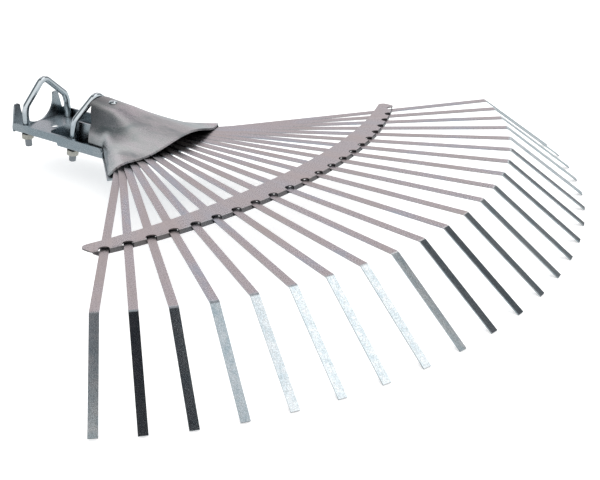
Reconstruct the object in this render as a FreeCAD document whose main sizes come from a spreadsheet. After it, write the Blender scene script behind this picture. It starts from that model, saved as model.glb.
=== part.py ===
"""Leaf rake head: a fan of flat spring steel tines held by a pressed hood, with a two-bolt handle clamp.

Lengths are millimetres. While the pieces are drawn, the fan's apex is the origin: +X runs from the
handle to the tines, +Z is up and z = 0 is level with the outermost tines' elbows. Every piece is then
moved by the same amount, which puts the origin on the handle's axis, in the notched end wall.
"""
import FreeCAD, Part
import math
import os

import Sketcher
from FreeCAD import Placement, Rotation, Vector

X_AXIS = Vector(1, 0, 0)
Y_AXIS = Vector(0, 1, 0)
Z_AXIS = Vector(0, 0, 1)

doc = FreeCAD.newDocument("leaf_rake")

# ---------------------------------------------------------------------------------------------------
# Driving dimensions
# ---------------------------------------------------------------------------------------------------
DIMENSIONS = {
    # the fan of tines
    "tineCount": 22,
    "tineWidth": 5.0,
    "tineThickness": 0.8,
    "elbowSag": 1.0,             # how far the middle tines' elbows lie below the outermost ones
    "middlePitch": 0.0165,       # fall of the middle tines per millimetre outwards
    "pitchDrop": 0.0445,         # how much less the outermost tines fall: they rise outwards
    "fanHalfAngle": 48.65,       # direction of the outermost tines, degrees
    "apexShift": 20.3,           # how far forward of the apex the outermost tines' lines cross the axis
    "elbowRadius": 285.0,        # middle tines: from the apex to the elbow
    "elbowDrop": 18.0,           # how much shorter the outermost tines are
    "rootRadius": 62.0,          # middle tines: from the apex to the root end
    "rootDrop": 15.3,
    "rootHalfWidth": 1.35,       # the hidden root end is tapered to twice this
    "rootTaperLength": 15.0,
    "tipLength": 64.0,           # from the elbow's corner to the tip
    "tipAngle": 37.2,            # how far the tip is bent down, degrees
    "elbowInnerRadius": 2.0,
    # the spreader bar
    "barThickness": 0.8,
    "barHalfHeight": 1.8,
    "barRaise": 0.05,            # how far its mid height lies above the tines passing through it
    "barFrontRadius": 325.0,
    "barFrontCentre": -141.0,
    "barRearRadius": 378.4,
    "barRearCentre": -211.9,
    "barHalfLength": 152.5,
    "barEndRadius": 3.5,
    "barFlangeDepth": 5.0,
    "barBendReach": 1.3,         # how far its bends reach from the corners
    "slotRadius": 3.2,
    # the sheet metal of the head and its clamp
    "sheetThickness": 1.4,
    "floorTop": -11.5,           # top of the clamp bracket's floor
    "bracketHalfWidth": 24.2,
    "bracketRear": -68.0,        # outer face of the end wall
    "bracketFront": 20.0,
    "bracketWallFront": -3.0,
    "bracketWallTop": -6.0,
    "bracketCornerRadius": 4.0,
    "hornTop": 6.8,
    "hornHalfWidth": 20.6,
    "notchRadius": 15.8,
    "screwHoleRadius": 3.0,
    "screwHolePlace": -49.6,
    "cradleRear": -36.0,
    "cradleFront": 21.0,
    "cradleInner": 14.6,         # half the clear width between the cradle's ears
    "cradleTop": 4.4,
    "cradleRearTop": -8.2,
    "cradleRise": 26.0,          # length over which the ears rise to full height
    # the hood
    "hoodRear": -0.5,
    "hoodCutBack": 9.5,          # its sides start this far forward
    "hoodCutTop": 16.0,          # the height at which the rear rim leaves the sides
    "hoodCutTurn": 8.0,          # the height at which the rim turns straight down
    "hoodKink": 24.0,            # where its sides stop being parallel
    "hoodRearHalfWidth": 22.8,
    "hoodKinkHalfWidth": 23.6,
    "hoodRearTop": 19.3,
    "hoodRearBase": -8.0,
    "mouthRadius": 82.0,
    "mouthHalfAngle": 42.5,
    "mouthTop": 10.8,
    "mouthShoulder": 1.2,
    "mouthBase": -7.0,
    "flankStart": 0.74,          # share of the half angle at which the flanks begin to fall
    # the lower plate
    "plateRear": -20.0,
    "plateFront": 85.0,
    "plateRimTop": -6.0,
    "plateMargin": 1.3,          # how far its edge shows outside the hood's
    "plateBendShare": 0.8,       # share of its half width at which its sides turn up
    "rampStart": 27.0,
    "rampEnd": 45.5,
    "rimEnd": 23.0,
    # the plate over the tine roots, and its rivets
    "retainerInner": 50.0,
    "retainerOuter": 66.0,
    "retainerHalfAngle": 18.0,
    "retainerThickness": 1.0,
    "stripClearance": 0.5,       # from the middle of a strip to the plates above and below it
    "shingleClearance": 1.75,    # added at the outermost tines, which overlap like shingles
    "rivetCircle": 56.0,
    "rivetAngle": 12.0,
    "rivetShankRadius": 1.6,
    "rivetHeadRadius": 3.0,
    "rivetHeadHeight": 1.5,
    "crownRivetPlace": 12.9,
    # the two U-bolts and their nuts
    "rodRadius": 2.4,
    "threadRadius": 2.5,
    "threadLength": 19.0,
    "legSpacing": 40.0,
    "shoulderHalfWidth": 18.4,
    "shoulderHeight": 7.0,
    "rearBoltPlace": -56.8,
    "rearBoltApex": 24.2,
    "rearBoltEnd": -22.6,
    "frontBoltPlace": -9.4,      # where its axis passes through the floor's upper face
    "frontBoltApex": 21.4,
    "frontBoltEnd": -24.2,
    "frontBoltLean": 10.5,       # degrees from upright, towards the hood
    "bendRadius": 4.0,
    "apexBendRadius": 5.5,
    "legHoleRadius": 3.1,
    "nutFlats": 8.0,
    "nutHeight": 4.0,
    "nutBoreRadius": 2.56,
    "nutChamferAngle": 30.0,
    "leanGap": 1.0,              # extra room above the leaning bolt's nuts
}

sheet = doc.addObject("Spreadsheet::Sheet", "dims")
for row, (alias, number) in enumerate(DIMENSIONS.items(), start=1):
    sheet.set("A%d" % row, alias)
    sheet.set("B%d" % row, str(number))
    sheet.setAlias("B%d" % row, alias)
doc.recompute()


def dim(alias):
    """A driving dimension's value, read from the sheet."""
    return float(getattr(sheet, alias))


sub_parts = []


def finish_part(obj, label, placement=None):
    """Name a sub-part and move it from the drawing frame to the row frame."""
    obj.Label = label
    home = Placement(Vector(-dim("bracketRear"), 0, -handle_axis_height()), Rotation())
    obj.Placement = home.multiply(placement or Placement()).multiply(obj.Placement)
    sub_parts.append(obj)
    return obj


def handle_axis_height():
    """The centre of the end wall's notch, whose lowest point is level with the bracket's floor."""
    return dim("floorTop") + dim("notchRadius")


def part_object(kind, name, **formulas):
    """A Part object whose properties follow the given expressions."""
    obj = doc.addObject(kind, name)
    for prop, formula in formulas.items():
        obj.setExpression(prop, formula)
    return obj


def box(name, low, size):
    """A box from six expressions: its low corner and its size."""
    obj = part_object("Part::Box", name, Length=size[0], Width=size[1], Height=size[2])
    for letter, formula in zip("xyz", low):
        obj.setExpression("Placement.Base." + letter, formula)
    return obj


def cylinder(name, radius, height, base=("0", "0", "0")):
    """An upright cylinder from expressions."""
    obj = part_object("Part::Cylinder", name, Radius=radius, Height=height)
    for letter, formula in zip("xyz", base):
        obj.setExpression("Placement.Base." + letter, formula)
    return obj


def cut(name, base, tool):
    obj = doc.addObject("Part::Cut", name)
    obj.Base = base
    obj.Tool = tool
    return obj


def common(name, base, tool):
    obj = doc.addObject("Part::Common", name)
    obj.Base = base
    obj.Tool = tool
    return obj


def fuse(name, shapes):
    obj = doc.addObject("Part::MultiFuse", name)
    obj.Shapes = shapes
    obj.Refine = True
    return obj


def round_edges(name, base, radius, wanted):
    """Fillet the edges of base for which wanted(edge) is true."""
    doc.recompute()
    numbers = [i for i, edge in enumerate(base.Shape.Edges, start=1) if wanted(edge)]
    if not numbers:
        raise RuntimeError(name + " found no edge to round")
    obj = doc.addObject("Part::Fillet", name)
    obj.Base = base
    obj.Edges = [(i, radius, radius) for i in numbers]
    return obj


def origin_plane(body, role):
    return next(feature for feature in body.Origin.OriginFeatures if feature.Role == role)


def sketch_on(body, name, role):
    sketch = body.newObject("Sketcher::SketchObject", name)
    sketch.AttachmentSupport = [(origin_plane(body, role), "")]
    sketch.MapMode = "FlatFace"
    return sketch


# ---------------------------------------------------------------------------------------------------
# Tines
# ---------------------------------------------------------------------------------------------------
def fan_fraction(number):
    """-1 at the first tine, +1 at the last."""
    middle = (dim("tineCount") + 1) / 2
    return (number - middle) / (middle - 1)


def tine_pitch(n):
    """How much a tine falls per millimetre outwards."""
    return dim("middlePitch") - dim("pitchDrop") * n * n


def tine_height(n, along):
    """Height of a tine's mid surface, at a distance from where its line crosses the rake's axis."""
    elbow = dim("elbowRadius") - dim("elbowDrop") * n * n
    return dim("elbowSag") * (n * n - 1) + tine_pitch(n) * (elbow - along)


def tine_placement(number):
    """A tine's own X axis runs from where its line crosses the rake's axis."""
    n = fan_fraction(number)
    turn = Rotation(Z_AXIS, n * dim("fanHalfAngle"))
    tilt = Rotation(Y_AXIS, math.degrees(math.atan(tine_pitch(n))))
    return Placement(Vector(dim("apexShift") * n * n, 0, tine_height(n, 0)), turn.multiply(tilt))


def fan_coordinates(x, y):
    """The fraction n of the tine whose line would pass through a point, and the distance along it."""
    low = 0.0
    high = 1.3
    for _ in range(60):
        n = (low + high) / 2
        turn = math.radians(n * dim("fanHalfAngle"))
        ahead = x - dim("apexShift") * n * n
        if ahead * math.sin(turn) < abs(y) * math.cos(turn):
            low = n
        else:
            high = n
    return n, ahead * math.cos(turn) + abs(y) * math.sin(turn)


def fan_height(x, y):
    return tine_height(*fan_coordinates(x, y))


def strip_room(x, y):
    """Half the vertical room to leave for the strips between the plates above and below them."""
    n = min(1, fan_coordinates(x, y)[0])
    return dim("stripClearance") + dim("shingleClearance") * n * n


def add_side_profile(sketch, root, elbow, bend_angle):
    """The strip's side view: straight, bent down at the elbow, straight to a square tip."""
    half = dim("tineThickness") / 2
    inner = dim("elbowInnerRadius")
    bend = math.radians(bend_angle)
    reach = (inner + half) * math.tan(bend / 2)
    centre = Vector(elbow - reach, -half - inner, 0)
    along = Vector(math.cos(bend), -math.sin(bend), 0)
    outward = Vector(math.sin(bend), math.cos(bend), 0)
    tip = Vector(elbow, 0, 0) + along * dim("tipLength")
    upper = [Vector(root, half, 0), Vector(centre.x, half, 0), centre + outward * (inner + 2 * half),
             tip + outward * half]
    lower = [tip - outward * half, centre + outward * inner, Vector(centre.x, -half, 0),
             Vector(root, -half, 0)]
    arc_start = math.pi / 2 - bend

    def arc(radius):
        return Part.ArcOfCircle(Part.Circle(centre, Z_AXIS, radius), arc_start, math.pi / 2)

    sketch.addGeometry([
        Part.LineSegment(upper[0], upper[1]), arc(inner + 2 * half), Part.LineSegment(upper[2], upper[3]),
        Part.LineSegment(upper[3], lower[0]), Part.LineSegment(lower[0], lower[1]), arc(inner),
        Part.LineSegment(lower[2], lower[3]), Part.LineSegment(lower[3], upper[0])], False)


def constrain_side_profile(sketch, root, elbow, bend_angle):
    """Bind the side view to the sheet. An arc's first end is the one nearer the tip."""
    start, end, centre = 1, 2, 3
    add = sketch.addConstraint
    add(Sketcher.Constraint("Tangent", 0, end, 1, end))
    add(Sketcher.Constraint("Tangent", 1, start, 2, start))
    add(Sketcher.Constraint("Coincident", 2, end, 3, start))
    add(Sketcher.Constraint("Coincident", 3, end, 4, start))
    add(Sketcher.Constraint("Tangent", 4, end, 5, start))
    add(Sketcher.Constraint("Tangent", 5, end, 6, start))
    add(Sketcher.Constraint("Coincident", 6, end, 7, start))
    add(Sketcher.Constraint("Coincident", 7, end, 0, start))
    add(Sketcher.Constraint("Coincident", 1, centre, 5, centre))
    add(Sketcher.Constraint("Horizontal", 0))
    add(Sketcher.Constraint("Vertical", 7))
    add(Sketcher.Constraint("Perpendicular", 2, 3))
    half = dim("tineThickness") / 2
    bend = math.radians(bend_angle[0])
    reach = (dim("elbowInnerRadius") + half) * math.tan(bend / 2)
    setback = "(dims.elbowInnerRadius + dims.tineThickness / 2) * tan((%s) / 2 * 1 deg)" % bend_angle[1]
    sizes = [
        ("DistanceX", (-1, start, 0, start), root[0], root[1]),
        ("DistanceY", (-1, start, 0, start), half, "dims.tineThickness / 2"),
        ("Distance", (7,), 2 * half, "dims.tineThickness"),
        ("Radius", (5,), dim("elbowInnerRadius"), "dims.elbowInnerRadius"),
        ("DistanceX", (-1, start, 1, centre), elbow[0] - reach, "%s - %s" % (elbow[1], setback)),
        ("Angle", (2,), -bend, "-(%s) * 1 deg" % bend_angle[1]),
        ("Distance", (4,), dim("tipLength") - reach, "dims.tipLength - " + setback),
    ]
    for kind, refs, value, formula in sizes:
        index = add(Sketcher.Constraint(kind, *refs, value))
        sketch.setExpression("Constraints[%d]" % index, formula)


def add_root_taper(body, root, square):
    """Trim both sides of the root end, so that the crowded roots lie clear of each other."""
    taper = sketch_on(body, body.Name + "_taper", "XY_Plane")
    full = dim("tineWidth") / 2
    narrow = dim("rootHalfWidth")
    shoulder = root + dim("rootTaperLength")
    for side in (1, -1):
        corners = [Vector(root - 1, side * (full + 1), 0), Vector(root - 1, side * narrow, 0),
                   Vector(root, side * narrow, 0), Vector(shoulder, side * full, 0),
                   Vector(shoulder, side * (full + 1), 0)]
        for first, second in zip(corners, corners[1:] + corners[:1]):
            taper.addGeometry(Part.LineSegment(first, second), False)
    pocket = body.newObject("PartDesign::Pocket", body.Name + "_trim")
    pocket.Profile = taper
    pocket.Type = 1
    pocket.Midplane = True
    doc.recompute()
    if pocket.Shape.Volume >= square.Shape.Volume:
        raise RuntimeError(body.Name + ": the root taper cuts nothing")


def make_tine(number):
    body = doc.addObject("PartDesign::Body", "tine_%02d" % number)
    square_of_n = fan_fraction(number) ** 2
    root = (dim("rootRadius") - dim("rootDrop") * square_of_n,
            "dims.rootRadius - dims.rootDrop * %.6f" % square_of_n)
    elbow = (dim("elbowRadius") - dim("elbowDrop") * square_of_n,
             "dims.elbowRadius - dims.elbowDrop * %.6f" % square_of_n)
    slope = math.degrees(math.atan(tine_pitch(fan_fraction(number))))
    bend_angle = (dim("tipAngle") - slope, "dims.tipAngle - %.6f" % slope)
    side = sketch_on(body, body.Name + "_side", "XZ_Plane")
    add_side_profile(side, root[0], elbow[0], bend_angle[0])
    constrain_side_profile(side, root, elbow, bend_angle)
    strip = body.newObject("PartDesign::Pad", body.Name + "_strip")
    strip.Profile = side
    strip.Midplane = True
    strip.setExpression("Length", "dims.tineWidth")
    doc.recompute()
    add_root_taper(body, root[0], strip)
    return finish_part(body, body.Name, tine_placement(number))


# ---------------------------------------------------------------------------------------------------
# Pressed sheet: a skin of constant thickness under a surface given by a formula
# ---------------------------------------------------------------------------------------------------
def pressed_sheet(surface_point, along, across, thickness):
    """A closed solid between the surface and its offset by thickness, below it.

    Each face is a cubic spline whose poles are the surface's points, so it has no ripples.
    """
    step = 1e-4

    def offset_point(u, v):
        here = surface_point(u, v)
        du = surface_point(u + step, v) - surface_point(u - step, v)
        dv = surface_point(u, v + step) - surface_point(u, v - step)
        return here - du.cross(dv).normalize() * thickness

    def face(point):
        patch = Part.BSplineSurface()
        poles = [[point(u, v) for v in across] for u in along]
        knots = []
        mults = []
        for count in (len(along), len(across)):
            spans = count - 3
            knots.append([i / spans for i in range(spans + 1)])
            mults.append([4] + [1] * (spans - 1) + [4])
        patch.buildFromPolesMultsKnots(poles, mults[0], mults[1], knots[0], knots[1], False, False, 3, 3)
        return patch

    outer = face(surface_point)
    inner = face(offset_point)
    walls = []
    u0, u1, v0, v1 = outer.bounds()
    for iso, at in (("vIso", v0), ("vIso", v1), ("uIso", u0), ("uIso", u1)):
        rim = getattr(outer, iso)(at)
        poles = [rim.getPoles(), getattr(inner, iso)(at).getPoles()]
        wall = Part.BSplineSurface()
        wall.buildFromPolesMultsKnots(poles, [2, 2], rim.getMultiplicities(), [0, 1], rim.getKnots(),
                                      False, False, 1, 3)
        walls.append(wall.toShape())
    shell = Part.makeShell([outer.toShape(), inner.toShape()] + walls)
    shell.sewShape()
    solid = Part.makeSolid(Part.Shell(shell.Faces))
    if solid.Volume < 0:
        solid.reverse()
    solid.fix(1e-4, 1e-4, 1e-3)
    return solid


def smooth(low, high, value):
    """0 below low, 1 above high, with a smooth step between."""
    share = min(1, max(0, (value - low) / (high - low)))
    return share * share * (3 - 2 * share)


def mix(first, second, share):
    return first + (second - first) * share


def soft_ramp(value, softness):
    """max(0, value) with a rounded corner."""
    return (value + math.sqrt(value * value + softness * softness)) / 2


# ---------------------------------------------------------------------------------------------------
# Spreader bar
# ---------------------------------------------------------------------------------------------------
def bar_front(y):
    return dim("barFrontCentre") + math.sqrt(dim("barFrontRadius") ** 2 - y * y)


def bar_middle(y):
    """Its mid height, which follows the arch of the fan."""
    return fan_height(bar_front(y), y) + dim("barRaise")


def bar_point(y, step):
    """A point of its outer faces. step runs from the lower flange's edge up the front to the top's rear."""
    reach = dim("barBendReach")
    half = dim("barHalfHeight")
    front = bar_front(y)
    width = front - dim("barRearCentre") - math.sqrt(dim("barRearRadius") ** 2 - y * y)
    corners = [(dim("barFlangeDepth"), -half), (reach, -half), (0, -half), (0, reach - half),
               (0, half - reach), (0, half), (reach, half), (width, half)]
    index = min(len(corners) - 2, max(0, math.floor(step)))
    share = step - index
    depth = mix(corners[index][0], corners[index + 1][0], share)
    height = mix(corners[index][1], corners[index + 1][1], share)
    return Vector(front - depth, y, bar_middle(y) + height)


def slot_tools():
    """One upright round-ended cutter on each tine's line, where it crosses the bar's front wall."""
    tools = []
    centre = dim("barFrontCentre")
    radius = dim("barFrontRadius") - dim("barThickness") / 2
    for number in range(1, int(dim("tineCount")) + 1):
        n = fan_fraction(number)
        turn = math.radians(n * dim("fanHalfAngle"))
        start = dim("apexShift") * n * n
        half_b = (start - centre) * math.cos(turn)
        travel = -half_b + math.sqrt(half_b ** 2 - (start - centre) ** 2 + radius ** 2)
        y = travel * math.sin(turn)
        low = bar_middle(y) - dim("barHalfHeight") + dim("barThickness") + 0.04
        tools.append(cylinder("slot_%02d" % number, "dims.slotRadius", "2 * dims.barHalfHeight + 2",
                              ("%.6f" % (start + travel * math.cos(turn)), "%.6f" % y, "%.6f" % low)))
    return tools


def make_spreader_bar():
    """A pressed channel, open behind: a broad top, a front wall and a narrow lower flange."""
    half = dim("barHalfLength")
    along = [mix(-half, half, i / 30) for i in range(31)]
    across = [0, 0.5, 1, 2, 3, 3.5, 4, 5, 6, 6.25, 6.5, 6.75, 7]
    bar = doc.addObject("Part::Feature", "bar_pressing")
    bar.Shape = pressed_sheet(bar_point, along, across, dim("barThickness"))
    trims = []
    under = bar_middle(half) + dim("barHalfHeight") - dim("barThickness")
    for name, sign in (("right", "-"), ("left", "")):
        low = "-dims.barHalfLength - 1" if sign else "dims.barHalfLength - dims.barEndRadius"
        trims.append(box("bar_end_" + name, ("0", low, "-10"),
                         ("dims.barFrontRadius", "dims.barEndRadius + 1", "10 + %.6f" % under)))
        trims.append(bar_corner("bar_corner_" + name, sign))
    slots = fuse("bar_slots", slot_tools() + trims)
    slots.Refine = False
    return finish_part(cut("spreader_bar", bar, slots), "spreader_bar")


def bar_corner(name, sign):
    """What rounding takes off one rear corner of the bar's top."""
    radius = dim("barEndRadius")
    y = dim("barHalfLength") - radius
    x = dim("barRearCentre") + math.sqrt((dim("barRearRadius") + radius) ** 2 - y ** 2)
    past = radius * y / (dim("barRearRadius") + radius)
    low = y - past if sign == "" else -y - radius - 1
    block = box(name + "_block", ("%.6f" % (x - radius - 4), "%.6f" % low, "-10"),
                ("dims.barEndRadius + 4", "dims.barEndRadius + %.6f" % (1 + past), "20"))
    core = cylinder(name + "_core", "dims.barEndRadius", "20", ("%.6f" % x, "%s%.6f" % (sign, y), "-10"))
    return cut(name, block, core)


# ---------------------------------------------------------------------------------------------------
# Hood and lower plate
# ---------------------------------------------------------------------------------------------------
def fan_share(station):
    """0 along the hood's parallel rear part, 1 at its mouth."""
    return min(1.15, max(0, (station - dim("hoodKink")) / (dim("mouthRadius") - dim("hoodKink"))))


def hood_half_width(station):
    mouth = dim("mouthRadius") * math.sin(math.radians(dim("mouthHalfAngle")))
    slope = (mouth - dim("hoodKinkHalfWidth")) / (dim("mouthRadius") - dim("hoodKink"))
    rear_slope = (dim("hoodKinkHalfWidth") - dim("hoodRearHalfWidth")) / (dim("hoodKink") - dim("hoodRear"))
    rear = dim("hoodRearHalfWidth") + rear_slope * (min(station, dim("hoodKink")) - dim("hoodRear"))
    return rear + slope * soft_ramp(station - dim("hoodKink"), 2.0)


def hood_base(station):
    return mix(dim("hoodRearBase"), dim("mouthBase"), smooth(0, dim("mouthRadius"), station))


def hood_point(station, side):
    """A point of the hood's upper face. side runs from -1 at one lower edge to 1 at the other."""
    share = fan_share(station)
    turn = math.radians(dim("mouthHalfAngle")) * side
    arch = math.pi / 2 * side
    width = hood_half_width(station)
    y = width * mix(math.sin(arch), math.sin(turn) / math.sin(math.radians(dim("mouthHalfAngle"))), share)
    x = station - share * dim("mouthRadius") * (1 - math.cos(turn))
    base = hood_base(station)
    ridge = mix(dim("hoodRearTop"), dim("mouthTop"), (station - dim("hoodRear")) / dim("mouthRadius"))
    rear_height = (ridge - base) * math.cos(arch)
    bump = math.cos(min(1, abs(side) / 0.74) * math.pi / 2) ** 2
    flank = max(0, (abs(side) - dim("flankStart")) / (1 - dim("flankStart"))) ** 2
    shoulder = dim("mouthShoulder") - base
    mouth_height = shoulder * (1 - flank) + (dim("mouthTop") - dim("mouthShoulder")) * bump
    z = base + mix(rear_height, mouth_height, share ** 0.85)
    return Vector(x, y, z)


def make_hood():
    rear = dim("hoodRear")
    mouth = dim("mouthRadius")
    rows = 28
    along = [mix(rear, mouth, i / rows) for i in range(rows + 1)]
    across = [math.sin(math.radians(angle)) for angle in range(-90, 91, 5)]
    hood = doc.addObject("Part::Feature", "hood")
    shape = pressed_sheet(hood_point, along, across, dim("sheetThickness"))
    hole = Part.makeCylinder(dim("rivetShankRadius"), 30, Vector(dim("crownRivetPlace"), 0, 5))
    corners = [(rear - 10, dim("hoodCutTop")), (rear + 2.5, dim("hoodCutTop")),
               (dim("hoodCutBack"), dim("hoodCutTurn")), (dim("hoodCutBack"), -40), (rear - 10, -40)]
    side = [Vector(x, -40, z) for x, z in corners]
    cut_away = Part.Face(Part.makePolygon(side + side[:1])).extrude(Vector(0, 80, 0))
    hood.Shape = shape.cut(hole).cut(cut_away)
    return finish_part(hood, "hood")


def channel(rear, front, inner, bottom, top, bend):
    """A straight U-shaped channel along X, with its outer bends rounded."""
    outer = inner + dim("sheetThickness")
    floor = bottom + dim("sheetThickness")
    section = [(-outer, top), (-outer, bottom), (outer, bottom), (outer, top),
               (inner, top), (inner, floor), (-inner, floor), (-inner, top)]
    wire = Part.makePolygon([Vector(rear, y, z) for y, z in section + section[:1]])
    solid = Part.Face(wire).extrude(Vector(front - rear, 0, 0))

    def is_outer_bend(edge):
        middle = edge.CenterOfMass
        return abs(abs(middle.y) - outer) < 0.01 and abs(middle.z - bottom) < 0.01 and edge.Length > 5

    return solid.makeFillet(bend, [edge for edge in solid.Edges if is_outer_bend(edge)])


def plate_point(station, side):
    """A point of the lower plate's upper face: a channel behind, and a fan with a raised edge ahead."""
    share = fan_share(station)
    spread = smooth(dim("rimEnd") - 1, dim("rimEnd") + 8, station)
    bend = dim("plateBendShare")
    channel_half = dim("bracketHalfWidth") + 0.05
    edge_half = mix(channel_half, hood_half_width(station) + dim("plateMargin"), spread)
    floor_half = mix(channel_half, bend * edge_half, spread)
    lift = min(1, max(0, (abs(side) - bend) / (1 - bend)))
    flat = min(abs(side), bend) / bend * floor_half + lift * (edge_half - floor_half)
    reach = math.radians(dim("mouthHalfAngle"))
    round_y = edge_half * math.sin(reach * abs(side)) / math.sin(reach)
    y = math.copysign(mix(flat, round_y, share), side)
    x = station - share * dim("mouthRadius") * (1 - math.cos(reach * side))
    floor = dim("floorTop") - dim("sheetThickness")
    n, along = fan_coordinates(x, y)
    under_fan = tine_height(min(n, 1), along) - strip_room(x, y)
    middle = mix(floor, under_fan, smooth(dim("rampStart"), dim("rampEnd"), station))
    edge = mix(dim("plateRimTop"), hood_base(station) - mix(0.5, dim("sheetThickness") + 0.2, share), spread)
    return Vector(x, y, mix(middle, edge, lift))


def make_lower_plate():
    """One pressing: a channel around the bracket, then a fan below the tine roots and the hood's edge."""
    rear = dim("plateRear")
    rim = dim("rimEnd") - 3
    along = [mix(rear, rim, i / 5) for i in range(5)]
    along += [mix(rim, dim("plateFront"), i / 26) for i in range(27)]
    bend = dim("plateBendShare")
    right = [1, 0.95, 0.9, bend + 0.04, bend, bend - 0.04] + [0.7 - i / 10 for i in range(7)]
    across = [-share for share in right] + [0] + right[::-1]
    shape = pressed_sheet(plate_point, along, across, dim("sheetThickness"))
    for x, y in bolt_leg_places():
        shape = shape.cut(leg_slot(x, y))
    for hole in rivet_holes():
        shape = shape.cut(hole)
    plate = doc.addObject("Part::Feature", "lower_plate")
    plate.Shape = shape
    return finish_part(plate, "lower_plate")


# ---------------------------------------------------------------------------------------------------
# Handle clamp: bracket and cradle
# ---------------------------------------------------------------------------------------------------
def bolt_leg_places():
    """Where the legs pass through the floor: both legs of the front bolt, which lean."""
    half = dim("legSpacing") / 2
    return [(dim("frontBoltPlace"), half), (dim("frontBoltPlace"), -half)]


def leg_slot(x, y):
    """A slot along X for a leaning leg, long enough for the lean through two sheets."""
    lean = math.tan(math.radians(dim("frontBoltLean")))
    radius = dim("legHoleRadius")
    rear = x - lean * (3 * dim("sheetThickness"))
    bottom = dim("floorTop") - 3 * dim("sheetThickness")
    height = 5 * dim("sheetThickness")
    front = x + lean * dim("sheetThickness")
    slot = Part.makeCylinder(radius, height, Vector(rear, y, bottom))
    slot = slot.fuse(Part.makeCylinder(radius, height, Vector(front, y, bottom)))
    bridge = Part.makeBox(front - rear, 2 * radius, height, Vector(rear, y - radius, bottom))
    return slot.fuse(bridge)


def make_bracket():
    thick = "dims.sheetThickness"
    half = "dims.bracketHalfWidth"
    bottom = "dims.floorTop - " + thick
    floor = box("bracket_floor", ("dims.bracketRear", "-" + half, bottom),
                ("dims.bracketFront - dims.bracketRear", "2 * " + half, thick))
    walls = [box("bracket_wall_%s" % name, ("dims.bracketRear", low, bottom),
                 ("dims.bracketWallFront - dims.bracketRear", thick, "dims.bracketWallTop - (%s)" % bottom))
             for name, low in (("right", "-" + half), ("left", half + " - " + thick))]
    tray = fuse("bracket_tray", [floor] + walls)
    outer = dim("bracketHalfWidth")
    low = dim("floorTop") - dim("sheetThickness")

    def is_long_bend(edge):
        middle = edge.CenterOfMass
        return (abs(abs(middle.y) - outer) < 0.01 and abs(middle.z - low) < 0.01 and
                abs(edge.tangentAt(edge.FirstParameter).x) > 0.9 and edge.Length > 30)

    def is_wall_corner(edge):
        middle = edge.CenterOfMass
        along_y = abs(edge.tangentAt(edge.FirstParameter).y) > 0.9
        return along_y and abs(middle.z - dim("bracketWallTop")) < 0.01 and middle.x < dim("bracketRear") + 1

    tray = round_edges("bracket_bent", tray, 2.2, is_long_bend)
    tray = round_edges("bracket_tray_rounded", tray, dim("bracketCornerRadius"), is_wall_corner)
    bracket = fuse("bracket_whole", [tray, end_wall()])
    holes = [cylinder("screw_hole", "dims.screwHoleRadius", "3 * " + thick,
                      ("dims.screwHolePlace", "0", "dims.floorTop - 2 * " + thick))]
    for name, sign in (("left", ""), ("right", "-")):
        holes.append(cylinder("rear_leg_hole_" + name, "dims.legHoleRadius", "3 * " + thick,
                              ("dims.rearBoltPlace", sign + "dims.legSpacing / 2",
                               "dims.floorTop - 2 * " + thick)))
    for index, (x, y) in enumerate(bolt_leg_places()):
        slot = doc.addObject("Part::Feature", "front_leg_slot_%d" % index)
        slot.Shape = leg_slot(x, y)
        holes.append(slot)
    return finish_part(cut("clamp_bracket", bracket, fuse("bracket_holes", holes)), "clamp_bracket")


def end_wall():
    """The wall at the handle end, turned up from the floor and notched to leave two horns."""
    thick = dim("sheetThickness")
    x = dim("bracketRear")
    bottom = dim("floorTop") - thick
    base = dim("bracketHalfWidth")
    top = dim("hornTop")
    horn = dim("hornHalfWidth")
    radius = dim("notchRadius")
    centre = handle_axis_height()
    corner = 2.2
    outline = [Vector(x, -base, bottom + 3), Vector(x, -base, bottom), Vector(x, base, bottom),
               Vector(x, base, bottom + 3), Vector(x, horn, top), Vector(x, radius, top)]
    edges = [Part.makeLine(a, b) for a, b in zip(outline, outline[1:])]
    edges.append(Part.makeLine(outline[-1], Vector(x, radius, centre)))
    edges.append(Part.Arc(Vector(x, radius, centre), Vector(x, 0, centre - radius),
                          Vector(x, -radius, centre)).toShape())
    edges.append(Part.makeLine(Vector(x, -radius, centre), Vector(x, -radius, top)))
    edges.append(Part.makeLine(Vector(x, -radius, top), Vector(x, -horn, top)))
    edges.append(Part.makeLine(Vector(x, -horn, top), outline[0]))
    wall = Part.Face(Part.Wire(Part.__sortEdges__(edges))).extrude(Vector(thick, 0, 0))

    def is_horn_corner(edge):
        middle = edge.CenterOfMass
        return abs(edge.tangentAt(edge.FirstParameter).x) > 0.9 and abs(middle.z - top) < 0.01

    wall = wall.makeFillet(corner, [edge for edge in wall.Edges if is_horn_corner(edge)])
    obj = doc.addObject("Part::Feature", "bracket_end_wall")
    obj.Shape = wall
    return obj


def make_cradle():
    """A channel nested in the bracket, whose tall ears stand either side of the handle."""
    thick = dim("sheetThickness")
    inner = dim("cradleInner")
    rear = dim("cradleRear")
    front = dim("cradleFront")
    shape = channel(rear, front, inner, dim("floorTop"), dim("cradleTop"), 1.4)
    rise = rear + dim("cradleRise")
    wide = inner + 2 * thick
    corners = [Vector(rear - 1, -wide, dim("cradleRearTop")), Vector(rear, -wide, dim("cradleRearTop")),
               Vector(rise, -wide, dim("cradleTop")), Vector(rise, -wide, dim("cradleTop") + 1),
               Vector(rear - 1, -wide, dim("cradleTop") + 1)]
    slope = Part.Face(Part.makePolygon(corners + corners[:1])).extrude(Vector(0, 2 * wide, 0))
    cradle = doc.addObject("Part::Feature", "handle_cradle")
    cradle.Shape = shape.cut(slope)
    return finish_part(cradle, "handle_cradle")


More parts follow.
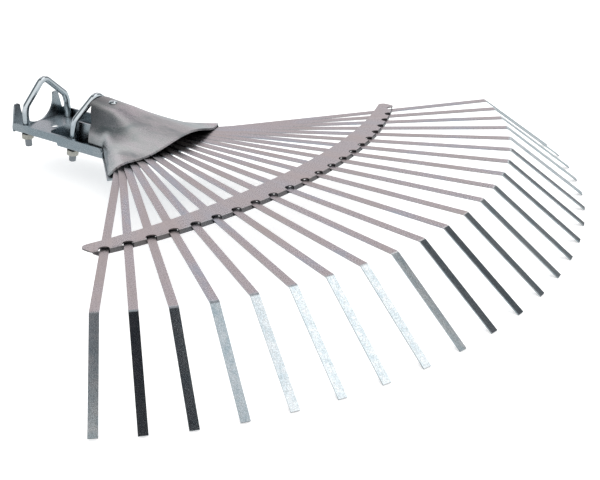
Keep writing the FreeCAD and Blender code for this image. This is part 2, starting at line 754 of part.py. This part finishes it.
# ---------------------------------------------------------------------------------------------------
# Tine retainer and rivets
# ---------------------------------------------------------------------------------------------------
def rivet_frames():
    """Where each retainer rivet crosses the fan, square to it."""
    frames = []
    for angle in (-dim("rivetAngle"), 0.0, dim("rivetAngle")):
        turn = math.radians(angle)
        x = dim("rivetCircle") * math.cos(turn)
        y = dim("rivetCircle") * math.sin(turn)
        across = Vector(0, 0.2, fan_height(x, y + 0.1) - fan_height(x, y - 0.1))
        along = Vector(0.2, 0, fan_height(x + 0.1, y) - fan_height(x - 0.1, y))
        frames.append(Placement(Vector(x, y, fan_height(x, y)), Rotation(Z_AXIS, along.cross(across))))
    return frames


def rivet_holes():
    holes = []
    for frame in rivet_frames():
        hole = Part.makeCylinder(dim("rivetShankRadius"), 12, Vector(0, 0, -6))
        hole.Placement = frame
        holes.append(hole)
    return holes


def retainer_point(radius, angle):
    """A point of the retainer's upper face."""
    x = radius * math.cos(angle)
    y = radius * math.sin(angle)
    return Vector(x, y, fan_height(x, y) + strip_room(x, y) + dim("retainerThickness"))


def make_retainer():
    """A sector pressed down on the tine roots by the rivets behind them."""
    reach = math.radians(dim("retainerHalfAngle"))
    radii = [mix(dim("retainerInner"), dim("retainerOuter"), i / 5) for i in range(6)]
    angles = [reach * i / 10 for i in range(-10, 11)]
    shape = pressed_sheet(retainer_point, radii, angles, dim("retainerThickness"))
    for hole in rivet_holes():
        shape = shape.cut(hole)
    plate = doc.addObject("Part::Feature", "tine_retainer")
    plate.Shape = shape
    return finish_part(plate, "tine_retainer")


def rivet(top, grip):
    """A rivet along Z, with a domed head above the height top and another below its grip."""
    head = dim("rivetHeadRadius")
    height = dim("rivetHeadHeight")
    sphere = (head ** 2 + height ** 2) / (2 * height)

    def dome(up):
        ball = Part.makeSphere(sphere, Vector(0, 0, up * (height - sphere)))
        room = Part.makeCylinder(head + 1, height, Vector(0, 0, 0 if up > 0 else -height))
        return ball.common(room)

    upper = dome(1)
    lower = dome(-1)
    lower.translate(Vector(0, 0, -grip))
    shank = Part.makeCylinder(dim("rivetShankRadius"), grip, Vector(0, 0, -grip))
    shape = upper.fuse([shank, lower]).removeSplitter()
    shape.translate(Vector(0, 0, top))
    return shape


def make_rivets():
    shapes = []
    for frame in rivet_frames():
        room = strip_room(frame.Base.x, frame.Base.y)
        top = room + dim("retainerThickness") + 0.02
        shape = rivet(top, top + room + dim("sheetThickness") + 0.02)
        shape.Placement = frame.multiply(shape.Placement)
        shapes.append(shape)
    group = doc.addObject("Part::Feature", "retainer_rivets")
    group.Shape = Part.makeCompound(shapes)
    finish_part(group, "retainer_rivets")
    crown = doc.addObject("Part::Feature", "crown_rivet")
    place = hood_point(dim("crownRivetPlace"), 0)
    shape = rivet(0.02, dim("sheetThickness") + 0.04)
    slope = (hood_point(place.x + 1, 0).z - hood_point(place.x - 1, 0).z) / 2
    shape.rotate(Vector(0, 0, 0), Y_AXIS, -math.degrees(math.atan(slope)))
    shape.translate(place)
    crown.Shape = shape
    finish_part(crown, "crown_rivet")


# ---------------------------------------------------------------------------------------------------
# U-bolts and nuts
# ---------------------------------------------------------------------------------------------------
def bolt_path(apex, end):
    """Straight legs, two shoulders and a pointed top, with a rounded bend at each corner."""
    leg = dim("legSpacing") / 2
    shoulder = dim("shoulderHalfWidth")
    height = dim("shoulderHeight")
    lower = height - 5
    corners = [Vector(0, -leg, end), Vector(0, -leg, lower), Vector(0, -shoulder, height),
               Vector(0, 0, apex), Vector(0, shoulder, height), Vector(0, leg, lower), Vector(0, leg, end)]
    radii = [dim("bendRadius") * 3, dim("bendRadius"), dim("apexBendRadius"), dim("bendRadius"),
             dim("bendRadius") * 3]
    edges = []
    last = corners[0]
    for before, corner, after, radius in zip(corners, corners[1:], corners[2:], radii):
        back = (before - corner).normalize()
        ahead = (after - corner).normalize()
        half_turn = back.getAngle(ahead) / 2
        reach = radius / math.tan(half_turn)
        middle = corner + (back + ahead).normalize() * (radius / math.sin(half_turn) - radius)
        start = corner + back * reach
        finish = corner + ahead * reach
        edges.append(Part.LineSegment(last, start).toShape())
        edges.append(Part.Arc(start, middle, finish).toShape())
        last = finish
    edges.append(Part.LineSegment(last, corners[-1]).toShape())
    return Part.Wire(edges)


def bolt_shape(apex, end):
    path = bolt_path(apex, end)
    start = path.Edges[0].Vertexes[0].Point
    circle = Part.Wire(Part.makeCircle(dim("rodRadius"), start, Z_AXIS))
    rod = path.makePipeShell([circle], True, True)
    legs = []
    chamfer = 0.6
    for side in (-1, 1):
        foot = Vector(0, side * dim("legSpacing") / 2, end)
        thread = Part.makeCylinder(dim("threadRadius"), dim("threadLength"), foot)
        rims = [edge for edge in thread.Edges if abs(edge.CenterOfMass.z - end) < 0.01 and edge.Length > 10]
        legs.append(thread.makeChamfer(chamfer, rims))
    return rod.fuse(legs).removeSplitter()


def bolt_placement(which):
    """The frame of a bolt: its origin is on the floor's upper face, and its Z axis along its legs."""
    if which == "rear":
        return Placement(Vector(dim("rearBoltPlace"), 0, 0), Rotation())
    turn = Rotation(Y_AXIS, dim("frontBoltLean"))
    floor = Vector(dim("frontBoltPlace"), 0, dim("floorTop"))
    return Placement(floor - turn.multVec(Vector(0, 0, dim("floorTop"))), turn)


def make_bolt(which):
    bolt = doc.addObject("Part::Feature", which + "_ubolt")
    bolt.Shape = bolt_shape(dim(which + "BoltApex"), dim(which + "BoltEnd"))
    return finish_part(bolt, which + "_ubolt", bolt_placement(which))


def nut_top(which):
    """A nut's upper face, in its bolt's frame: against the underside of the sheet above it."""
    if which == "rear":
        return dim("floorTop") - dim("sheetThickness") - 0.02
    return dim("floorTop") - 2 * dim("sheetThickness") - dim("leanGap")


def make_nut(which, side):
    """A hexagon nut with 30 degree chamfers, around one leg of a U-bolt."""
    name = "%s_nut_%s" % (which, side)
    prism = part_object("Part::Prism", name + "_hexagon", Circumradius="dims.nutFlats / 2 / cos(30 deg)",
                        Height="dims.nutHeight")
    prism.Polygon = 6
    face = "dims.nutFlats / 2 * 0.97"
    spread = "%s + dims.nutHeight / 2 / tan(dims.nutChamferAngle * 1 deg)" % face
    lower = part_object("Part::Cone", name + "_lower", Radius1=face, Radius2=spread, Height="dims.nutHeight / 2")
    upper = part_object("Part::Cone", name + "_upper", Radius1=spread, Radius2=face, Height="dims.nutHeight / 2")
    upper.setExpression("Placement.Base.z", "dims.nutHeight / 2")
    blank = common(name + "_blank", prism, fuse(name + "_chamfers", [lower, upper]))
    bore = cylinder(name + "_bore", "dims.nutBoreRadius", "dims.nutHeight * 2", ("0", "0", "-dims.nutHeight / 2"))
    nut = cut(name, blank, bore)
    y = dim("legSpacing") / 2 * (1 if side == "left" else -1)
    place = Placement(Vector(0, y, nut_top(which) - dim("nutHeight")), Rotation(Z_AXIS, 12))
    return finish_part(nut, name, bolt_placement(which).multiply(place))


# ---------------------------------------------------------------------------------------------------
# Build, check and export
# ---------------------------------------------------------------------------------------------------
for tine_number in range(1, int(dim("tineCount")) + 1):
    make_tine(tine_number)
make_spreader_bar()
make_hood()
make_lower_plate()
make_bracket()
make_cradle()
make_retainer()
make_rivets()
for bolt_name in ("rear", "front"):
    make_bolt(bolt_name)
    for nut_side in ("left", "right"):
        make_nut(bolt_name, nut_side)
doc.recompute()

for item in doc.Objects:
    if "Invalid" in item.State or "Error" in item.State:
        raise RuntimeError("%s failed: %s" % (item.Label, item.State))
for item in sub_parts:
    if item.Shape.isNull() or not item.Shape.isValid() or item.Shape.Volume <= 0:
        raise RuntimeError(item.Label + " has no valid shape")

os.makedirs("parts", exist_ok=True)
for item in sub_parts:
    item.Shape.exportStep("parts/%s.step" % item.Label)
    extent = item.Shape.BoundBox
    print("%-18s %d solid(s) %9.1f mm3  x %7.1f %7.1f  y %7.1f %7.1f  z %6.1f %6.1f" % (
        item.Label, len(item.Shape.Solids), item.Shape.Volume, extent.XMin, extent.XMax,
        extent.YMin, extent.YMax, extent.ZMin, extent.ZMax))
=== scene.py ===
import math

import bpy
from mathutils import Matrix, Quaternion, Vector


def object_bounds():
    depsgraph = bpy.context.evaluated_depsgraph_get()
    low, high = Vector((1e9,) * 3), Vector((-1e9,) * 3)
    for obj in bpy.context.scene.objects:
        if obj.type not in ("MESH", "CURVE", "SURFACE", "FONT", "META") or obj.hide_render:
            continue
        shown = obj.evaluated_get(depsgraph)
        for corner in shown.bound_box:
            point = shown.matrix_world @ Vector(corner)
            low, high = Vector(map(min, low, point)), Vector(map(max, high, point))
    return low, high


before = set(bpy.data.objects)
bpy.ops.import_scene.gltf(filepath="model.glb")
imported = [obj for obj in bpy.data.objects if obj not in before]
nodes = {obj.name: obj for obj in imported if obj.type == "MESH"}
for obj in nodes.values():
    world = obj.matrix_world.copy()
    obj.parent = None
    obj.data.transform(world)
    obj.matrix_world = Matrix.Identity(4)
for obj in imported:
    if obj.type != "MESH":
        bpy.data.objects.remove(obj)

cad_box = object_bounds()
scene = bpy.context.scene
CAMERA_PLACE = (0.641, -0.538, 0.2657)
CAMERA_BEARING = (180 - 36.607, 25.095)  # azimuth and elevation of the camera seen from the rake, in degrees
CAMERA_ROLL = -0.0087
CAMERA_LENS = 69.28                      # millimetres, over a 36 mm sensor
TINES = sorted(name for name in nodes if name.startswith("tine_") and name[5:].isdigit())
APEX = (0.068, 0.0)            # where the middle tines' lines meet, near the rear of the hood
ANGLE_SCALE = 0.3              # turns an angle about the apex into a length for the textures
ELBOW_SPAN = (0.2845, 0.2862)  # distance from the apex over which a middle tine's bend lies
ELBOW_DRAW_IN = 0.00666        # how much nearer the outer elbows are, per square radian from the middle
HOOD_REAR_SPAN = (0.066, 0.098)
THREAD_TOP = -0.0172           # height below which the U-bolts' threads show
THREAD_PITCH = 0.0008
EDGE_ROUNDING = 0.0003


# ---------------------------------------------------------------------------------------------------
# Camera
# ---------------------------------------------------------------------------------------------------
def direction(azimuth, elevation):
    """Azimuth 0 is +Y and 90 is +X, in degrees."""
    a, e = math.radians(azimuth), math.radians(elevation)
    return Vector((math.sin(a) * math.cos(e), math.cos(a) * math.cos(e), math.sin(e)))


def make_camera():
    back = direction(*CAMERA_BEARING)
    data = bpy.data.cameras.new("camera")
    data.sensor_width = 36
    data.lens = CAMERA_LENS
    data.clip_start = 0.01
    data.clip_end = 50
    camera = bpy.data.objects.new("camera", data)
    camera.location = CAMERA_PLACE
    camera.rotation_mode = "QUATERNION"
    camera.rotation_quaternion = (-back).to_track_quat("-Z", "Y") @ Quaternion((0, 0, 1), CAMERA_ROLL)
    scene.collection.objects.link(camera)
    scene.camera = camera


# ---------------------------------------------------------------------------------------------------
# Node helpers
# ---------------------------------------------------------------------------------------------------
class Nodes:
    """Makes and joins shader nodes."""

    def __init__(self, tree):
        self.tree = tree
        tree.nodes.clear()

    def add(self, kind, settings=None, **inputs):
        node = self.tree.nodes.new(kind)
        for key, value in (settings or {}).items():
            setattr(node, key, value)
        for key, value in inputs.items():
            self.set(node, key.replace("_", " "), value)
        return node

    def set(self, node, key, value):
        socket = node.inputs[int(key)] if key.isdigit() else node.inputs[key]
        if isinstance(value, bpy.types.NodeSocket):
            self.tree.links.new(value, socket)
        else:
            socket.default_value = value

    def math(self, operation, a, b=None, c=None):
        node = self.add("ShaderNodeMath", {"operation": operation})
        for i, value in enumerate((a, b, c)):
            if value is not None:
                self.set(node, str(i), value)
        return node.outputs[0]

    def vmath(self, operation, a, b):
        node = self.add("ShaderNodeVectorMath", {"operation": operation})
        self.set(node, "0", a)
        self.set(node, "1", b)
        return node.outputs["Value" if operation in ("DOT_PRODUCT", "LENGTH") else "Vector"]

    def span(self, value, low, high, out_low=0.0, out_high=1.0):
        node = self.add("ShaderNodeMapRange", {"interpolation_type": "SMOOTHSTEP"})
        for key, item in (("Value", value), ("From Min", low), ("From Max", high),
                          ("To Min", out_low), ("To Max", out_high)):
            self.set(node, key, item)
        return node.outputs["Result"]

    def mix(self, factor, a, b, blend="MIX"):
        node = self.add("ShaderNodeMix", {"data_type": "RGBA", "blend_type": blend})
        self.set(node, "0", factor)
        self.set(node, "6", a)
        self.set(node, "7", b)
        return node.outputs[2]

    def mix_shaders(self, factor, a, b):
        node = self.add("ShaderNodeMixShader")
        for i, value in enumerate((factor, a, b)):
            self.set(node, str(i), value)
        return node.outputs[0]

    def noise(self, vector, scale, detail=3.0, roughness=0.55, distortion=0.0):
        node = self.add("ShaderNodeTexNoise", Vector=vector, Scale=scale, Detail=detail,
                        Roughness=roughness, Distortion=distortion)
        return node.outputs["Fac"]

    def stretch(self, vector, scale):
        return self.vmath("MULTIPLY", vector, scale)

    def ramp(self, value, stops):
        node = self.add("ShaderNodeValToRGB", Fac=value)
        elements = node.color_ramp.elements
        while len(elements) < len(stops):
            elements.new(0.5)
        for element, (place, colour) in zip(elements, stops):
            element.position = place
            element.color = (*colour, 1)
        return node.outputs["Color"]


# ---------------------------------------------------------------------------------------------------
# Surroundings
# ---------------------------------------------------------------------------------------------------
def make_world():
    """A pale studio. Its spots, seen only in reflections, give each face of the metal its own tone."""
    world = bpy.data.worlds.new("studio")
    world.use_nodes = True
    scene.world = world
    n = Nodes(world.node_tree)
    coords = n.add("ShaderNodeTexCoord").outputs["Generated"]
    colour = n.mix(n.span(n.vmath("DOT_PRODUCT", coords, (0, 0, 1)), -0.1, 0.9),
                   (0.80, 0.81, 0.84, 1), (1.0, 1.0, 1.0, 1))
    spots = [
        # azimuth, elevation, radius and softness in degrees, then colour; later spots lie over earlier ones
        (0, 90, 20, 10, (0.30, 0.30, 0.32)),
        (-38, 55, 16, 10, (0.34, 0.33, 0.36)),
        (-40, 24, 20, 8, (0.66, 0.62, 0.64)),
        (22, 34, 15, 6, (0.10, 0.105, 0.115)),
        (8, 12, 18, 7, (0.20, 0.205, 0.215)),
        (-128, 44, 34, 14, (0.15, 0.17, 0.18)),
        (-66, 64, 7, 8, (0.9, 0.9, 0.9)),
        (57, 57, 16, 5, (1.25, 1.26, 1.28)),
        (115, 74.5, 12, 3, (0.015, 0.015, 0.02)),
        (82, 69.5, 5, 5, (0.72, 0.76, 0.80)),
    ]
    for azimuth, elevation, radius, softness, tint in spots:
        near = n.vmath("DOT_PRODUCT", coords, tuple(direction(azimuth, elevation)))
        inner = math.cos(math.radians(max(radius - softness / 2, 0)))
        outer = math.cos(math.radians(radius + softness / 2))
        colour = n.mix(n.span(near, outer, inner), colour, (*tint, 1))
    lit = n.add("ShaderNodeBackground", Color=colour, Strength=1.0)
    plain = n.add("ShaderNodeBackground", Color=(1, 1, 1, 1), Strength=1.0)
    path = n.add("ShaderNodeLightPath")
    direct = n.math("MAXIMUM", path.outputs["Is Camera Ray"], path.outputs["Is Diffuse Ray"])
    n.add("ShaderNodeOutputWorld", Surface=n.mix_shaders(direct, lit.outputs[0], plain.outputs[0]))


def make_light(name, azimuth, elevation, distance, size, power):
    """A soft disc aimed at the rake, left out of reflections."""
    data = bpy.data.lights.new(name, "AREA")
    data.shape = "DISK"
    data.size = size
    data.energy = power
    light = bpy.data.objects.new(name, data)
    target = Vector((0.2, 0, 0))
    light.location = target + direction(azimuth, elevation) * distance
    light.rotation_euler = (light.location - target).to_track_quat("Z", "Y").to_euler()
    light.visible_glossy = False
    scene.collection.objects.link(light)


def make_floor():
    """A pale floor, greyer in reflections and clear when seen from below."""
    lowest = cad_box[0].z
    mesh = bpy.data.meshes.new("floor")
    reach = 6
    mesh.from_pydata([(-reach, -reach, lowest), (reach, -reach, lowest), (reach, reach, lowest),
                      (-reach, reach, lowest)], [], [(0, 1, 2, 3)])
    floor = bpy.data.objects.new("floor", mesh)
    scene.collection.objects.link(floor)
    material = bpy.data.materials.new("floor")
    material.use_nodes = True
    n = Nodes(material.node_tree)
    coords = n.add("ShaderNodeTexCoord").outputs["Object"]
    tone = n.ramp(n.noise(coords, 6.0), [(0.3, (0.93, 0.93, 0.93)), (0.7, (0.96, 0.96, 0.96))])
    shader = n.add("ShaderNodeBsdfPrincipled", Base_Color=tone, Roughness=0.9, Emission_Color=(1, 1, 1, 1),
                   Emission_Strength=0.4)
    reflected = n.add("ShaderNodeEmission", Color=(0.64, 0.67, 0.69, 1), Strength=1.0)
    glossy = n.add("ShaderNodeLightPath").outputs["Is Glossy Ray"]
    above = n.mix_shaders(glossy, shader.outputs[0], reflected.outputs[0])
    from_below = n.add("ShaderNodeNewGeometry").outputs["Backfacing"]
    clear = n.add("ShaderNodeBsdfTransparent").outputs[0]
    n.add("ShaderNodeOutputMaterial", Surface=n.mix_shaders(from_below, above, clear))
    floor.data.materials.append(material)


# ---------------------------------------------------------------------------------------------------
# Materials
# ---------------------------------------------------------------------------------------------------
def polar(n, position):
    """Coordinates that follow the tines: distance from the apex, angle about it, and height."""
    moved = n.vmath("SUBTRACT", position, (*APEX, 0))
    parts = n.add("ShaderNodeSeparateXYZ", Vector=moved)
    radius = n.vmath("LENGTH", moved, (0, 0, 0))
    angle = n.math("ARCTAN2", parts.outputs["Y"], parts.outputs["X"])
    return n.add("ShaderNodeCombineXYZ", X=radius, Y=n.math("MULTIPLY", angle, ANGLE_SCALE),
                 Z=parts.outputs["Z"]).outputs[0]


def past_elbow(n, along):
    """0 on a tine's straight part and 1 on its bent tip."""
    parts = n.add("ShaderNodeSeparateXYZ", Vector=along).outputs
    turn = n.math("DIVIDE", parts["Y"], ANGLE_SCALE)
    reach = n.math("MULTIPLY_ADD", n.math("MULTIPLY", turn, turn), ELBOW_DRAW_IN, parts["X"])
    return n.span(reach, *ELBOW_SPAN)


def cut_thread(n, position, colour, relief):
    """Darken and ridge whatever lies below the top of the threads, with painted shade in the grooves."""
    height = n.add("ShaderNodeSeparateXYZ", Vector=position).outputs["Z"]
    inside = n.span(height, THREAD_TOP, THREAD_TOP - 0.0003)
    turns = n.math("SINE", n.math("MULTIPLY", height, 2 * math.pi / THREAD_PITCH))
    # Painted shade: dark in the thread grooves, lighter on the crests.
    groove_shade = n.ramp(n.span(turns, -1.0, 1.0), [(0.0, (0.10, 0.11, 0.12)), (1.0, (0.50, 0.53, 0.55))])
    ridges = n.math("MULTIPLY", inside, n.math("MULTIPLY", turns, 2.0))
    return n.mix(inside, colour, groove_shade), n.math("ADD", relief, ridges)


def shade_by(n, colour, value, dark_at, dark, light_at=1.0):
    """Multiply a colour by a grey that rises to white with a value."""
    return n.mix(1.0, colour, n.ramp(value, [(dark_at, dark), (light_at, (1.0,) * 3)]), "MULTIPLY")


def plated_steel(name, tones, roughness=(0.2, 0.36), streak=0.25, speckle=0.3, fan=False, tip_sheen_tones=None,
                 patch_scale=18.0, bump=0.12, painted_side_shade=1.0, rear_tone=1.0, threaded=False):
    """Zinc plate over cold rolled steel: broad drifts of tint, fine crystals and rolling streaks, with
    painted shade in crevices and, where asked, painted shade on upright faces and a painted sheen on bent
    tips.
    """
    material = bpy.data.materials.new(name)
    material.use_nodes = True
    n = Nodes(material.node_tree)
    position = n.add("ShaderNodeTexCoord").outputs["Object"]
    along = polar(n, position) if fan else position
    broad = n.noise(n.stretch(along, (1.0, 2.0, 2.0)), patch_scale, 4.0, 0.6, 0.4)
    colour = n.ramp(broad, tones)
    # Painted sheen: the bent tips get a paler, bluer colour that stands in for their bright reflection.
    if tip_sheen_tones:
        bent = past_elbow(n, along)
        colour = n.mix(bent, colour, n.ramp(n.noise(position, 160.0, 5.0, 0.7), tip_sheen_tones))
    crystals = n.noise(position, 1400.0, 4.0, 0.75)
    colour = shade_by(n, colour, crystals, 0.3, (1 - speckle,) * 3, 0.62)
    lines = n.noise(n.stretch(along, (14.0, 1500.0, 1500.0)), 1.0, 3.0, 0.6)
    colour = n.mix(streak, colour, n.ramp(lines, [(0.3, (0.55,) * 3), (0.7, (1.0,) * 3)]), "MULTIPLY")
    # The hood's colour darkens towards its rear.
    if rear_tone < 1:
        place = n.add("ShaderNodeSeparateXYZ", Vector=position).outputs["X"]
        colour = shade_by(n, colour, n.span(place, *HOOD_REAR_SPAN), 0.0, (rear_tone,) * 3)
    # Painted shade: the colour darkens in crevices, slots and where parts meet, by ambient occlusion.
    painted_crevice_shade = n.add("ShaderNodeAmbientOcclusion", {"samples": 4}, Distance=0.006).outputs["AO"]
    colour = shade_by(n, colour, painted_crevice_shade, 0.3, (0.16, 0.17, 0.18), 0.8)
    rough = n.span(n.math("ADD", n.math("MULTIPLY", broad, 0.5), n.math("MULTIPLY", crystals, 0.5)),
                   0.35, 0.65, roughness[0], roughness[1])
    if tip_sheen_tones:
        rough = n.span(bent, 0.0, 1.0, rough, 0.13)
    # Painted shade: upright faces are darkened, level faces keep their colour.
    if painted_side_shade < 1:
        normal = n.add("ShaderNodeSeparateXYZ", Vector=n.add("ShaderNodeNewGeometry").outputs["Normal"])
        upright = n.math("ABSOLUTE", normal.outputs["Z"])
        colour = shade_by(n, colour, upright, 0.3, (painted_side_shade,) * 3, 0.8)
    relief = n.math("ADD", n.math("MULTIPLY", crystals, 0.6), n.math("MULTIPLY", lines, 0.4))
    if threaded:
        colour, relief = cut_thread(n, position, colour, relief)
    raised = n.add("ShaderNodeBump", Strength=bump, Distance=0.0002, Height=relief)
    shader = n.add("ShaderNodeBsdfPrincipled", Base_Color=colour, Metallic=1.0, Roughness=rough,
                   Normal=raised.outputs[0])
    n.add("ShaderNodeOutputMaterial", Surface=shader.outputs[0])
    return material


def bevel(names, edge_material=None):
    """Round the sharp edges of sheet and strip, in a material of their own where one is given."""
    for name in names:
        modifier = nodes[name].modifiers.new("edges", "BEVEL")
        modifier.width = EDGE_ROUNDING
        modifier.segments = 2
        modifier.limit_method = "ANGLE"
        modifier.angle_limit = math.radians(50)
        if edge_material:
            nodes[name].data.materials.append(edge_material)
            modifier.material = len(nodes[name].data.materials) - 1


def dress(names, material):
    """Give nodes one material in place of the frame's."""
    for name in names:
        for entry in nodes[name].material_slots:
            entry.material = material


# ---------------------------------------------------------------------------------------------------
# The scene
# ---------------------------------------------------------------------------------------------------
make_camera()
make_world()
make_floor()
make_light("key", 57, 57, 1.6, 0.9, 2.5)
make_light("side", -60, 66, 1.6, 0.9, 2)

pink = [(0.32, (0.68, 0.72, 0.80)), (0.48, (0.76, 0.71, 0.73)), (0.68, (0.76, 0.69, 0.67))]
# Paler, bluer tones for the bent tips: a painted sheen.
tip = [(0.35, (0.70, 0.80, 0.84)), (0.60, (0.92, 0.96, 0.97))]
silver = [(0.35, (0.50, 0.59, 0.64)), (0.60, (0.68, 0.73, 0.76))]
tine_steel = plated_steel("tine_steel", pink, fan=True, tip_sheen_tones=tip)
# The bar's upright front wall gets deep painted shade.
bar_steel = plated_steel("bar_steel", [(0.3, (0.72, 0.73, 0.77)), (0.5, (0.77, 0.73, 0.74)),
                                       (0.7, (0.82, 0.74, 0.72))], fan=True, painted_side_shade=0.32)
hood_steel = plated_steel("hood_steel", [(0.32, (0.46, 0.50, 0.51)), (0.48, (0.66, 0.67, 0.67)),
                                         (0.66, (0.82, 0.76, 0.79))], roughness=(0.18, 0.32), patch_scale=34,
                          rear_tone=0.5)
# Plates, bracket, cradle and retainer get light painted shade on upright faces.
plate_steel = plated_steel("plate_steel", silver, painted_side_shade=0.85)
bolt_steel = plated_steel("bolt_steel", [(0.3, (0.62, 0.70, 0.74)), (0.7, (0.80, 0.85, 0.87))],
                          roughness=(0.05, 0.12), streak=0.1, speckle=0.1, bump=0.1, threaded=True)
nut_steel = plated_steel("nut_steel", [(0.3, (0.60, 0.58, 0.50)), (0.7, (0.76, 0.74, 0.68))])
# A dark grey for the tines' rounded edges: painted shade that outlines each strip.
painted_edge_shade = plated_steel("painted_edge_shade", [(0.3, (0.30, 0.31, 0.33)), (0.7, (0.42, 0.43, 0.45))], streak=0.0)
dress(TINES, tine_steel)
dress(["spreader_bar"], bar_steel)
dress(["hood"], hood_steel)
dress(["lower_plate", "clamp_bracket", "handle_cradle", "tine_retainer"], plate_steel)
dress(["rear_ubolt", "front_ubolt", "crown_rivet", "retainer_rivets"], bolt_steel)
dress([name for name in nodes if "_nut_" in name], nut_steel)

# The tines' rounded edges get the dark grey of painted shade.
bevel(TINES, painted_edge_shade)
bevel(["clamp_bracket", "handle_cradle", "hood"])

scene.view_settings.view_transform = "Standard"
